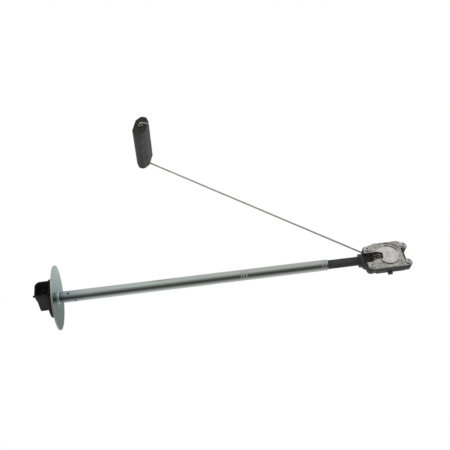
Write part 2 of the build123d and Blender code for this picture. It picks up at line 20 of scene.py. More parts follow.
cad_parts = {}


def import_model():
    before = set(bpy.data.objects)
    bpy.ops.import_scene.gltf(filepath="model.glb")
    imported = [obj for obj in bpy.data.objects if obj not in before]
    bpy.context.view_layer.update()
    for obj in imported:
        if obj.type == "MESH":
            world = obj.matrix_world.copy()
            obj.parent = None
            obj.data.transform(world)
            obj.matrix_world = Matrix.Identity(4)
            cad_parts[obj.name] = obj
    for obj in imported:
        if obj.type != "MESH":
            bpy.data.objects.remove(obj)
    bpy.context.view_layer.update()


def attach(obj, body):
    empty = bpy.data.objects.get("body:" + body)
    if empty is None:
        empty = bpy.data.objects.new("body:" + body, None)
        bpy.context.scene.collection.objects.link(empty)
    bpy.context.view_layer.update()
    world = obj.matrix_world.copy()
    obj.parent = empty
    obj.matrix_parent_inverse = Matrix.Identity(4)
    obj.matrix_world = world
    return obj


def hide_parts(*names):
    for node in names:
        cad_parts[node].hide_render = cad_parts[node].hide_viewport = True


MM = 0.001
# How far the lever's pivot lies below the flange
PIVOT_DROP = 357.3
LOG = logging.getLogger("sender")
# Numbers of a colour Mix node's sockets, since others share their names: its two colours and its result
MIX_FIRST, MIX_SECOND, MIX_RESULT = 6, 7, 2
# In frame meshes, points closer than this merge, and faces that turn by less than this join
MERGE_MM, FLAT_DEG = 0.002, 0.6
# Edges that turn by more than the first angle are broken, and by more than the second are shaded sharp
BROKEN_DEG, SHARP_DEG = 40.0, 35.0


class Body(Enum):
    """The rigid bodies that pieces ride on."""

    SENDER = "sender"
    LEVER = "lever"
    FLOAT = "float"


def linear(code: str) -> tuple[float, float, float, float]:
    """Turns an sRGB hex colour into linear values.

    Args:
        code: The colour, such as "#8C9C9E".

    Returns:
        Red, green, blue and an alpha of 1.
    """
    shown = Color([int(code[i : i + 2], 16) / 255 for i in (1, 3, 5)])
    return (*shown.from_srgb_to_scene_linear(), 1.0)


def feed(node: bpy.types.Node, links: dict[Any, Any]) -> None:
    """Sets or links a node's inputs.

    Args:
        node: The node.
        links: Input name or number, to a value or to the socket that feeds it.
    """
    for key, value in links.items():
        if isinstance(value, bpy.types.NodeSocket):
            node.id_data.links.new(value, node.inputs[key])
        else:
            node.inputs[key].default_value = value


def add_node(tree: bpy.types.NodeTree, kind: str, links: dict[Any, Any] | None = None, **settings: Any) -> Any:
    """Adds one node with its settings and links.

    Args:
        tree: The node tree that gets the node.
        kind: The node's type name.
        links: Input name or number, to a value or to the socket that feeds it.
        settings: Properties set on the node itself.

    Returns:
        The new node.
    """
    made = tree.nodes.new(kind)
    for name, value in settings.items():
        setattr(made, name, value)
    feed(made, links or {})
    return made


def blend_colours(tree: bpy.types.NodeTree, factor: Any, stops: Sequence[tuple[float, str]]) -> Any:
    """Maps a factor to colours.

    Args:
        tree: The material's node tree.
        factor: The socket that drives the colours.
        stops: Pairs of position and hex colour, at least two.

    Returns:
        The colour socket.
    """
    ramp = add_node(tree, "ShaderNodeValToRGB", {"Fac": factor})
    elements = ramp.color_ramp.elements
    while len(elements) < len(stops):
        elements.new(0.5)
    for element, (position, code) in zip(elements, stops):
        element.position = position
        element.color = linear(code)
    return ramp.outputs["Color"]


def noise(tree: bpy.types.NodeTree, place: Any, size_mm: float, detail: float, roughness: float = 0.5) -> Any:
    """Adds noise.

    Args:
        tree: The material's node tree.
        place: The coordinates, in metres.
        size_mm: The size of its clouds.
        detail: The number of finer layers.
        roughness: How strong those are.

    Returns:
        The noise's socket.
    """
    links = {"Vector": place, "Scale": 1 / (size_mm * MM), "Detail": detail, "Roughness": roughness}
    return add_node(tree, "ShaderNodeTexNoise", links).outputs["Fac"]


def rescale(tree: bpy.types.NodeTree, value: Any, given: Sequence[Any] = (0.0, 1.0),
            wanted: Sequence[Any] = (0.0, 1.0)) -> Any:
    """Maps one range of values to another and clamps it.

    Args:
        tree: The material's node tree.
        value: The socket to map.
        given: The two ends of its range.
        wanted: What they become.

    Returns:
        The mapped socket.
    """
    links = {"Value": value, "From Min": given[0], "From Max": given[1], "To Min": wanted[0], "To Max": wanted[1]}
    return add_node(tree, "ShaderNodeMapRange", links).outputs["Result"]


def mix_colours(tree: bpy.types.NodeTree, share: Any, first: Any, second: Any) -> Any:
    """Returns a colour socket that goes from the first colour to the second as the share goes from 0 to 1."""
    links = {"Factor": share, MIX_FIRST: first, MIX_SECOND: second}
    return add_node(tree, "ShaderNodeMix", links, data_type="RGBA").outputs[MIX_RESULT]


def add_bump(tree: bpy.types.NodeTree, shader: Any, height: Any, depth_mm: float, strength: float) -> None:
    """Roughens a shader's surface.

    Args:
        tree: The material's node tree.
        shader: The Principled shader.
        height: The socket that drives the bumps.
        depth_mm: How deep they are.
        strength: How much of them shows.
    """
    bump = add_node(tree, "ShaderNodeBump", {"Height": height, "Distance": depth_mm * MM, "Strength": strength})
    feed(shader, {"Normal": bump.outputs["Normal"]})


def cleared_tree(owner: bpy.types.Material | bpy.types.World) -> bpy.types.NodeTree:
    """Turns on nodes and removes those that are there.

    Args:
        owner: A material or a world.

    Returns:
        Its empty tree.
    """
    owner.use_nodes = True
    owner.node_tree.nodes.clear()
    return owner.node_tree


@dataclass(frozen=True)
class Finish(ABC):
    """A surface finish that builds its own material."""

    name: str

    @abstractmethod
    def shade(self, tree: bpy.types.NodeTree, shader: Any, place: Any) -> None:
        """Sets up the shader.

        Args:
            tree: The material's node tree.
            shader: The Principled shader.
            place: The Object coordinates, in metres.
        """

    def material(self) -> bpy.types.Material:
        """Builds the material, or returns the one already built.

        The frame's own materials are named after the slots, so no finish may share a name with a slot.

        Returns:
            The material.
        """
        made = bpy.data.materials.get(self.name)
        if made:
            return made
        made = bpy.data.materials.new(self.name)
        tree = cleared_tree(made)
        shader = add_node(tree, "ShaderNodeBsdfPrincipled")
        add_node(tree, "ShaderNodeOutputMaterial", {"Surface": shader.outputs["BSDF"]})
        place = add_node(tree, "ShaderNodeTexCoord").outputs["Object"]
        self.shade(tree, shader, place)
        return made


@dataclass(frozen=True)
class Metal(Finish):
    """Plated, cast, turned or drawn metal: cloudy colour, a fine grain and uneven gloss.

    Each tint is an axis or "radius", the millimetres along it where the tint starts and is full, and its colour; some
    of them are painted shade.
    A radius, the rim's start too, is the distance from the Z axis.
    """

    stops: tuple[tuple[float, str], ...]
    cloud_mm: float
    grain_mm: float
    grain_depth_mm: float
    gloss: tuple[float, float]
    stretch: tuple[float, float, float] = (1.0, 1.0, 1.0)
    turn_deg: tuple[float, float, float] = (0.0, 0.0, 0.0)
    metallic: float = 1.0
    edge: str = "#FFFFFF"
    rim_start_mm: float = 0.0
    rim_width_mm: float = 0.3
    rim_colour: str = "#FFFFFF"
    rim_roughness: float = 0.5
    tints_and_shade: tuple[tuple[str, float, float, str], ...] = ()

    def shade(self, tree: bpy.types.NodeTree, shader: Any, place: Any) -> None:
        """Sets up the metal. See Finish.shade."""
        turn = tuple(math.radians(angle) for angle in self.turn_deg)
        along = add_node(
            tree, "ShaderNodeMapping", {"Vector": place, "Rotation": turn, "Scale": self.stretch}
        ).outputs["Vector"]
        grain = noise(tree, along, self.grain_mm, detail=3.0)
        colour = blend_colours(tree, noise(tree, along, self.cloud_mm, detail=5.0), self.stops)
        rough = rescale(tree, grain, wanted=self.gloss)
        if self.rim_start_mm:
            rim = self.share(tree, place, "radius", self.rim_start_mm, self.rim_start_mm + self.rim_width_mm)
            colour = mix_colours(tree, rim, colour, linear(self.rim_colour))
            rough = rescale(tree, rim, wanted=(rough, self.rim_roughness))
        for axis, begin, full, tone in self.tints_and_shade:
            colour = mix_colours(tree, self.share(tree, place, axis, begin, full), colour, linear(tone))
        feed(shader, {"Base Color": colour, "Metallic": self.metallic, "Roughness": rough})
        feed(shader, {"Specular Tint": linear(self.edge)})
        if self.grain_depth_mm:
            add_bump(tree, shader, grain, self.grain_depth_mm, strength=0.6)

    @staticmethod
    def share(tree: bpy.types.NodeTree, place: Any, axis: str, begin_mm: float, full_mm: float) -> Any:
        """Finds how far a point is between two places.

        Args:
            tree: The material's node tree.
            place: The Object coordinates, in metres.
            axis: X, Y, Z or radius.
            begin_mm: Where the share is 0.
            full_mm: Where it is 1.

        Returns:
            The share's socket.
        """
        if axis == "radius":
            flat = add_node(tree, "ShaderNodeVectorMath", {0: place, 1: (1.0, 1.0, 0.0)}, operation="MULTIPLY")
            reach = add_node(tree, "ShaderNodeVectorMath", {0: flat.outputs[0]}, operation="LENGTH")
            measure = reach.outputs["Value"]
        else:
            measure = add_node(tree, "ShaderNodeSeparateXYZ", {0: place}).outputs[axis]
        return rescale(tree, measure, given=(begin_mm * MM, full_mm * MM))


@dataclass(frozen=True)
class Moulding(Finish):
    """Moulded plastic or rubber: even dark colour, a fine spark-eroded grain and soft gloss."""

    stops: tuple[tuple[float, str], ...]
    grain_mm: float
    grain_depth_mm: float
    gloss: tuple[float, float]
    cloud_mm: float = 12.0
    specular: float = 0.5

    def shade(self, tree: bpy.types.NodeTree, shader: Any, place: Any) -> None:
        """Sets up the moulding. See Finish.shade."""
        cloud = noise(tree, place, self.cloud_mm, detail=4.0)
        grain = noise(tree, place, self.grain_mm, detail=4.0)
        colour = blend_colours(tree, cloud, self.stops)
        rough = rescale(tree, cloud, wanted=self.gloss)
        feed(shader, {"Base Color": colour, "Specular IOR Level": self.specular, "Roughness": rough})
        add_bump(tree, shader, grain, self.grain_depth_mm, strength=0.5)


@dataclass(frozen=True)
class CellRubber(Finish):
    """Closed-cell rubber: charcoal skin with small open pores, a dull face and sawn ends, which are darker partly by
    their own tone and partly as painted shade.
    """

    skin: tuple[tuple[float, str], ...]
    pore_mm: float
    pore_depth_mm: float
    roughness: tuple[float, float]
    sawn_and_shade_colour: str
    cloud_mm: float = 7.0
    pore_edge: tuple[float, float] = (0.05, 0.3)
    end_facing: tuple[float, float] = (0.6, 0.9)
    specular: float = 0.2

    def shade(self, tree: bpy.types.NodeTree, shader: Any, place: Any) -> None:
        """Sets up the rubber. See Finish.shade."""
        cloud = noise(tree, place, self.cloud_mm, detail=6.0, roughness=0.6)
        cells = add_node(tree, "ShaderNodeTexVoronoi", {"Vector": place, "Scale": 1 / (self.pore_mm * MM)})
        facing = add_node(tree, "ShaderNodeTexCoord").outputs["Normal"]
        lengthwise = add_node(tree, "ShaderNodeVectorMath", {0: facing, 1: (0.0, 1.0, 0.0)}, operation="DOT_PRODUCT")
        end = add_node(tree, "ShaderNodeMath", {0: lengthwise.outputs["Value"]}, operation="ABSOLUTE").outputs[0]
        # The faces along Y, the sawn ends, turn darker: partly the cut foam's own tone, partly painted shade
        sawn = rescale(tree, end, given=self.end_facing)
        colour = mix_colours(tree, sawn, blend_colours(tree, cloud, self.skin), linear(self.sawn_and_shade_colour))
        rough = rescale(tree, cloud, wanted=self.roughness)
        feed(shader, {"Base Color": colour, "Specular IOR Level": self.specular, "Roughness": rough})
        pores = rescale(tree, cells.outputs["Distance"], given=self.pore_edge)
        add_bump(tree, shader, pores, self.pore_depth_mm, strength=0.5)


@dataclass(frozen=True)
class SleevedLead(Finish):
    """A sleeved wire with a stripped end: rubber above the strip line, dull tinned strands below it."""

    sleeve: str
    strands: tuple[tuple[float, str], ...]
    strip_mm: tuple[float, float]
    roughness: float
    strand_mm: float = 0.9
    specular: float = 0.12

    def shade(self, tree: bpy.types.NodeTree, shader: Any, place: Any) -> None:
        """Sets up the lead. See Finish.shade."""
        height = add_node(tree, "ShaderNodeSeparateXYZ", {0: place}).outputs["Z"]
        low, high = self.strip_mm
        cover = rescale(tree, height, given=(low * MM, high * MM))
        mottled = blend_colours(tree, noise(tree, place, self.strand_mm, detail=3.0), self.strands)
        colour = mix_colours(tree, cover, mottled, linear(self.sleeve))
        feed(shader, {"Base Color": colour, "Specular IOR Level": self.specular, "Roughness": self.roughness})


# Zinc plate on pressed sheet: greenish grey, softly clouded, with a warm matt rim
FLANGE_ZINC = Metal(
    name="flange_zinc_plate",
    stops=((0.3, "#8A9E9F"), (0.5, "#9AAEAD"), (0.7, "#A9BBB9")),
    cloud_mm=9,
    grain_mm=2.5,
    grain_depth_mm=0.0,
    gloss=(0.18, 0.26),
    edge="#D8E2E0",
    rim_start_mm=33.3,
    rim_colour="#BAB8AD",
)
# Zinc plate on drawn tube, with slow streaks along it: warmer towards the mouth and darker by the flange, with painted
# shade in the crimps and dark painted shade in the bore
TUBE_ZINC = Metal(
    name="tube_zinc_plate",
    stops=((0.3, "#9FA7A4"), (0.7, "#B0B8B5")),
    cloud_mm=3,
    grain_mm=3,
    grain_depth_mm=0.0,
    gloss=(0.18, 0.24),
    stretch=(1.0, 1.0, 0.05),
    tints_and_shade=(
        ("Z", -60.0, -240.0, "#A6AAA4"),
        ("Z", -32.0, -6.0, "#858E90"),
        # Painted shade in the vees of the crimps, then darker painted shade in the bore
        ("radius", 5.85, 5.65, "#86857B"),
        ("radius", 5.3, 5.1, "#45443F"),
    ),
)
# Weld metal, coloured much lighter than the plate round it as a painted highlight
WELD_HIGHLIGHT_ZINC = Metal(
    name="weld_bright_zinc",
    stops=((0.3, "#B4BBBC"), (0.7, "#CDD3D3")),
    cloud_mm=2,
    grain_mm=1.2,
    grain_depth_mm=0.0,
    gloss=(0.24, 0.36),
)
# Die-cast zinc, bare and dulled: brownish grey blotches, a grainy face, and painted shade on what lies below the face:
# grooves, slot walls and edges
COVER_CASTING = Metal(
    name="cover_die_cast_zinc",
    stops=((0.3, "#88857E"), (0.5, "#A6A39C"), (0.7, "#C2C0BA")),
    cloud_mm=3,
    grain_mm=0.8,
    grain_depth_mm=0.06,
    gloss=(0.36, 0.52),
    # Painted shade: it starts 0.05 mm below the face and is full 0.3 mm below it
    tints_and_shade=(("Y", -3.95, -3.7, "#7A766E"),),
)
# The raised cap is the same casting, rubbed bright
CAP_CASTING = Metal(
    name="cap_rubbed_zinc",
    stops=((0.3, "#B0ACAB"), (0.5, "#C6C2C1"), (0.7, "#D7D4D3")),
    cloud_mm=4,
    grain_mm=0.8,
    grain_depth_mm=0.02,
    gloss=(0.32, 0.44),
)
# Zinc-plated screws: small, bright and crisp
SCREW_ZINC = Metal(
    name="screw_zinc_plate",
    stops=((0.3, "#A8A9AA"), (0.7, "#C6C7C8")),
    cloud_mm=1.5,
    grain_mm=0.6,
    grain_depth_mm=0.0,
    gloss=(0.16, 0.26),
)
# Drawn steel wire: grey, with fine lines along its length
ARM_STEEL = Metal(
    name="arm_drawn_wire",
    stops=((0.3, "#9A9997"), (0.7, "#B2B0AD")),
    cloud_mm=2,
    grain_mm=1.5,
    grain_depth_mm=0.0,
    gloss=(0.26, 0.36),
    stretch=(1.0, 1.0, 0.06),
    turn_deg=(0.0, -36.1, 0.0),
)
# Turned brass, tarnished brown
BRASS = Metal(
    name="turned_brass",
    stops=((0.3, "#6B624C"), (0.7, "#877C62")),
    cloud_mm=1.5,
    grain_mm=0.6,
    grain_depth_mm=0.0,
    gloss=(0.3, 0.44),
)
# Tinned copper blades and posts, dulled
TIN_PLATE = Metal(
    name="tinned_copper",
    stops=((0.3, "#77766F"), (0.7, "#8E8D86")),
    cloud_mm=2,
    grain_mm=0.6,
    grain_depth_mm=0.0,
    gloss=(0.3, 0.42),
)
# Glass-filled nylon: near black, faintly grey where the glass shows
BLACK_NYLON = Moulding(
    name="glass_filled_nylon",
    stops=((0.3, "#272727"), (0.7, "#343433")),
    grain_mm=0.5,
    grain_depth_mm=0.02,
    gloss=(0.4, 0.54),
    specular=0.2,
)
# The head is moulded in a blacker grade than the carrier
HEAD_NYLON = Moulding(
    name="head_nylon",
    stops=((0.3, "#1D1D1E"), (0.7, "#262627")),
    grain_mm=0.5,
    grain_depth_mm=0.02,
    gloss=(0.5, 0.62),
    specular=0.05,
)
# Acetal lever and rotor: black and slightly waxy
BLACK_ACETAL = Moulding(
    name="black_acetal",
    stops=((0.3, "#18181A"), (0.7, "#222224")),
    grain_mm=0.4,
    grain_depth_mm=0.01,
    gloss=(0.34, 0.44),
    specular=0.25,
)
# Fuel-proof leads: dark brown sleeve, stripped and tinned where they are soldered to their posts
LEAD_SLEEVE = SleevedLead(
    name="stripped_lead",
    sleeve="#2A2622",
    strands=((0.35, "#837D71"), (0.65, "#A8A296")),
    strip_mm=(-350.0, -345.0),
    roughness=0.42,
)
# Nitrile gasket and grommet: dull black
NITRILE = Moulding(
    name="nitrile_rubber",
    stops=((0.3, "#161616"), (0.7, "#202020")),
    grain_mm=0.6,
    grain_depth_mm=0.02,
    gloss=(0.6, 0.75),
    specular=0.25,
)
# Fired alumina board under a grey glaze: dull and matt
ALUMINA = Moulding(
    name="fired_alumina",
    stops=((0.3, "#96928A"), (0.7, "#A5A198")),
    grain_mm=0.3,
    grain_depth_mm=0.01,
    gloss=(0.5, 0.62),
)
# Closed-cell nitrile foam: charcoal, dull and finely pored, with darker sawn ends that are partly painted shade
FLOAT_FOAM = CellRubber(
    name="closed_cell_nitrile",
    skin=((0.3, "#343432"), (0.5, "#3C3C39"), (0.7, "#454542")),
    pore_mm=0.9,
    pore_depth_mm=0.08,
    roughness=(0.62, 0.8),
    sawn_and_shade_colour="#2C2C2B",
)


def link_object(name: str, data: bpy.types.ID) -> bpy.types.Object:
    """Makes an object and links it to the scene.

    Args:
        name: Its name.
        data: Its mesh, curve, camera or lamp.

    Returns:
        The object.
    """
    made = bpy.data.objects.new(name, data)
    bpy.context.scene.collection.objects.link(made)
    return made


def wear(mesh: bpy.types.Mesh, finish: Finish) -> None:
    """Gives a whole mesh one finish.

    Args:
        mesh: The mesh.
        finish: The finish that it wears.
    """
    mesh.materials.clear()
    mesh.materials.append(finish.material())
    for face in mesh.polygons:
        face.material_index = 0


def finish_nodes(finishes: dict[str, Finish]) -> None:
    """Gives frame nodes that stay in view their finishes."""
    for node, finish in finishes.items():
        wear(bpy.data.objects[node].data, finish)


def finished_mesh(source: bpy.types.Object) -> bpy.types.Mesh:
    """Evaluates an object's modifiers and removes the object.

    Args:
        source: The object.

    Returns:
        The plain mesh.
    """
    bpy.context.view_layer.update()
    evaluated = source.evaluated_get(bpy.context.evaluated_depsgraph_get())
    mesh = bpy.data.meshes.new_from_object(evaluated)
    bpy.data.objects.remove(source)
    return mesh


def add_piece(name: str, mesh: bpy.types.Mesh, finish: Finish, body: Body, slot: str, *nodes: str) -> None:
    """Adds a piece with smooth faces, rides it on its body and hides the frame nodes that it stands for.

    Args:
        name: The piece's name.
        mesh: Its mesh, in place.
        finish: The finish that it wears.
        body: The body that it moves with.
        slot: The record's material slot; not used.
        nodes: The frame nodes that it replaces.
    """
    mesh.name = name
    wear(mesh, finish)
    for face in mesh.polygons:
        face.use_smooth = True
    mesh.set_sharp_from_angle(angle=math.radians(SHARP_DEG))
    piece = link_object(name, mesh)
    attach(piece, body.value)
    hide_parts(*nodes)
    LOG.info("%s: %d faces", piece.name, len(mesh.polygons))


def lathe(profile: Sequence[tuple[float, float]], steps: int, closed: bool = False) -> bpy.types.Mesh:
    """Turns a profile about Z.

    Args:
        profile: Points of radius and height, in millimetres. A radius of 0 makes a pole.
        steps: Faces round the axis.
        closed: True joins the last point to the first, for a hollow ring.

    Returns:
        The mesh, with outward faces.
    """
    work = bmesh.new()
    rings = []
    for radius, height in profile:
        if radius == 0:
            rings.append([work.verts.new((0, 0, height * MM))] * steps)
            continue
        ring = []
        for i in range(steps):
            angle = 2 * math.pi * i / steps
            ring.append(work.verts.new((radius * MM * math.cos(angle), radius * MM * math.sin(angle), height * MM)))
        rings.append(ring)
    pairs = list(zip(rings, rings[1:]))
    if closed:
        pairs.append((rings[-1], rings[0]))
    for low, high in pairs:
        for i in range(steps):
            j = (i + 1) % steps
            corners = list(dict.fromkeys((low[i], low[j], high[j], high[i])))
            work.faces.new(corners)
    bmesh.ops.recalc_face_normals(work, faces=work.faces)
    mesh = bpy.data.meshes.new("lathe")
    work.to_mesh(mesh)
    work.free()
    return mesh


def rounded(corner: tuple[float, float], before: tuple[float, float], after: tuple[float, float],
            radius: float, steps: int = 5) -> list[tuple[float, float]]:
    """Rounds one corner of a profile.

    Args:
        corner: The sharp corner.
        before: The profile's point before it.
        after: The profile's point after it.
        radius: The setback along both sides.
        steps: Points on the round.

    Returns:
        The points of a curve that replaces the corner.
    """
    here = Vector(corner)
    start = here + (Vector(before) - here).normalized() * radius
    end = here + (Vector(after) - here).normalized() * radius
    points = []
    for i in range(steps + 1):
        t = i / steps
        point = start * (1 - t) ** 2 + here * 2 * t * (1 - t) + end * t * t
        points.append((point.x, point.y))
    return points


@dataclass(frozen=True)
class RefinedNode:
    """A frame node that is shown as a piece of its own, with broken edges."""

    node: str
    name: str
    finish: Finish
    body: Body
    slot: str
    edge_mm: float
    edge_steps: int = 2

    def build(self) -> None:
        """Copies the node, breaks its sharp edges and adds the piece."""
        work = bmesh.new()
        work.from_mesh(bpy.data.objects[self.node].data)
        bmesh.ops.remove_doubles(work, verts=work.verts, dist=MERGE_MM * MM)
        bmesh.ops.dissolve_limit(
            work, angle_limit=math.radians(FLAT_DEG), verts=work.verts, edges=work.edges, delimit={"NORMAL"}
        )
        mesh = bpy.data.meshes.new(self.name)
        work.to_mesh(mesh)
        work.free()
        source = link_object(self.name + "_source", mesh)
        bevel = source.modifiers.new("edges", "BEVEL")
        bevel.width = self.edge_mm * MM
        bevel.segments = self.edge_steps
        bevel.limit_method = "ANGLE"
        bevel.angle_limit = math.radians(BROKEN_DEG)
        add_piece(self.name, finished_mesh(source), self.finish, self.body, self.slot, self.node)


def cut(source: bpy.types.Mesh, cutters: Iterable[bpy.types.Mesh]) -> bpy.types.Mesh:
    """Cuts shapes out of a mesh.

    Args:
        source: The mesh to cut.
        cutters: The closed shapes to take away.

    Returns:
        The cut mesh.
    """
    body = link_object("body_to_cut", source)
    tools = [link_object(f"cutter_{number}", cutter) for number, cutter in enumerate(cutters)]
    for tool in tools:
        boolean = body.modifiers.new(tool.name, "BOOLEAN")
        boolean.operation = "DIFFERENCE"
        boolean.solver = "EXACT"
        boolean.object = tool
    mesh = finished_mesh(body)
    for tool in tools:
        bpy.data.objects.remove(tool)
    return mesh


class PieceTree(ABC):
    """Geometry Nodes tree that makes one finished piece from a mesh or a curve."""

    inputs: dict[str, str] = {}

    def __init__(self, name: str) -> None:
        """Builds the tree, with the inputs Source and Finish besides those of its kind.

        Args:
            name: The tree's name.
        """
        self.tree = bpy.data.node_groups.new(name, "GeometryNodeTree")
        sockets = {"Source": "Geometry", **self.inputs, "Finish": "Material"}
        for label, kind in sockets.items():
            self.tree.interface.new_socket(label, in_out="INPUT", socket_type="NodeSocket" + kind)
        self.tree.interface.new_socket("Result", in_out="OUTPUT", socket_type="NodeSocketGeometry")
        given = add_node(self.tree, "NodeGroupInput").outputs
        real = add_node(self.tree, "GeometryNodeRealizeInstances", {"Geometry": self.shape(given)})
        dressed = add_node(
            self.tree,
            "GeometryNodeSetMaterial",
            {"Geometry": real.outputs["Geometry"], "Material": given["Finish"]},
        )
        add_node(self.tree, "NodeGroupOutput", {"Result": dressed.outputs["Geometry"]})

    @abstractmethod
    def shape(self, given: Any) -> Any:
        """Adds the nodes that make the shape.

        Args:
            given: The tree's inputs, by name.

        Returns:
            The shape's socket.
        """

    def run(self, source: bpy.types.Mesh | bpy.types.Curve, finish: Finish, values: dict[str, Any]) -> bpy.types.Mesh:
        """Runs the tree.

        Args:
            source: What it works on.
            finish: The finish of the piece.
            values: Its other inputs, by name.

        Returns:
            One plain mesh.
        """
        holder = link_object("tree_holder", source)
        modifier = holder.modifiers.new("tree", "NODES")
        modifier.node_group = self.tree
        values = {**values, "Finish": finish.material()}
        for item in self.tree.interface.items_tree:
            if item.item_type == "SOCKET" and item.in_out == "INPUT" and item.name in values:
                modifier[item.identifier] = values[item.name]
        return finished_mesh(holder)


class RepeatTree(PieceTree):
    """Sets one shape on each point of a mesh, each with its own turn about Y."""

    inputs = {"Shape": "Object", "Twist": "Float", "Seed": "Int"}

    def shape(self, given: Any) -> Any:
        """Sets the shape on the points. See PieceTree.shape."""
        model = add_node(self.tree, "GeometryNodeObjectInfo", {"Object": given["Shape"]})
        twist = add_node(
            self.tree, "FunctionNodeRandomValue", {"Max": given["Twist"], "Seed": given["Seed"]}, data_type="FLOAT"
        )
        turn = add_node(self.tree, "ShaderNodeCombineXYZ", {"Y": twist.outputs["Value"]})
        return add_node(
            self.tree,
            "GeometryNodeInstanceOnPoints",
            {"Points": given["Source"], "Instance": model.outputs["Geometry"], "Rotation": turn.outputs["Vector"]},
        ).outputs["Instances"]

    def grow(self, points: Sequence[Vector], shape: bpy.types.Mesh, twist_deg: float, seed: int,
             finish: Finish) -> bpy.types.Mesh:
        """Sets the shape on the points.

        Args:
            points: The places, in metres.
            shape: The mesh to repeat, modelled at the origin.
            twist_deg: The largest turn about Y that a copy gets.
            seed: The seed of the turns.
            finish: The finish of the copies.

        Returns:
            One plain mesh.
        """
        cloud = bpy.data.meshes.new("points")
        cloud.from_pydata([tuple(p) for p in points], [], [])
        model = link_object("repeat_shape", shape)
        mesh = self.run(cloud, finish, {"Shape": model, "Twist": math.radians(twist_deg), "Seed": seed})
        bpy.data.objects.remove(model)
        return mesh


class WireTree(PieceTree):
    """Bends a path at its corners and sweeps a round wire along it."""

    inputs = {"Radius": "Float", "Round Steps": "Int", "Bend Steps": "Int"}

    def shape(self, given: Any) -> Any:
        """Bends the path and sweeps the wire. See PieceTree.shape."""
        bend = add_node(self.tree, "GeometryNodeInputRadius").outputs["Radius"]
        bent = add_node(
            self.tree,
            "GeometryNodeFilletCurve",
            {"Curve": given["Source"], "Count": given["Bend Steps"], "Radius": bend, "Limit Radius": True},
            mode="POLY",
        )
        even = add_node(self.tree, "GeometryNodeSetCurveRadius", {"Curve": bent.outputs["Curve"], "Radius": 1.0})
        circle = add_node(
            self.tree,
            "GeometryNodeCurvePrimitiveCircle",
            {"Resolution": given["Round Steps"], "Radius": given["Radius"]},
        )
        return add_node(
            self.tree,
            "GeometryNodeCurveToMesh",
            {"Curve": even.outputs["Curve"], "Profile Curve": circle.outputs["Curve"], "Fill Caps": True},
        ).outputs["Mesh"]

    def sweep(self, path: Sequence[tuple[Vector, float]], radius_mm: float, finish: Finish,
              round_steps: int = 24, bend_steps: int = 12) -> bpy.types.Mesh:
        """Sweeps the wire.

        Args:
            path: Corners in metres, each with its bend radius in millimetres.
            radius_mm: The wire's radius.
            finish: The wire's finish.
            round_steps: Faces round the wire.
            bend_steps: Points on each bend.

        Returns:
            One plain mesh.
        """
        curve = bpy.data.curves.new("wire_path", "CURVE")
        curve.dimensions = "3D"
        spline = curve.splines.new("POLY")
        spline.points.add(len(path) - 1)
        for point, (corner, bend_mm) in zip(spline.points, path):
            point.co = (*corner, 1.0)
            point.radius = bend_mm * MM
        values = {"Radius": radius_mm * MM, "Round Steps": round_steps, "Bend Steps": bend_steps}
        return self.run(curve, finish, values)


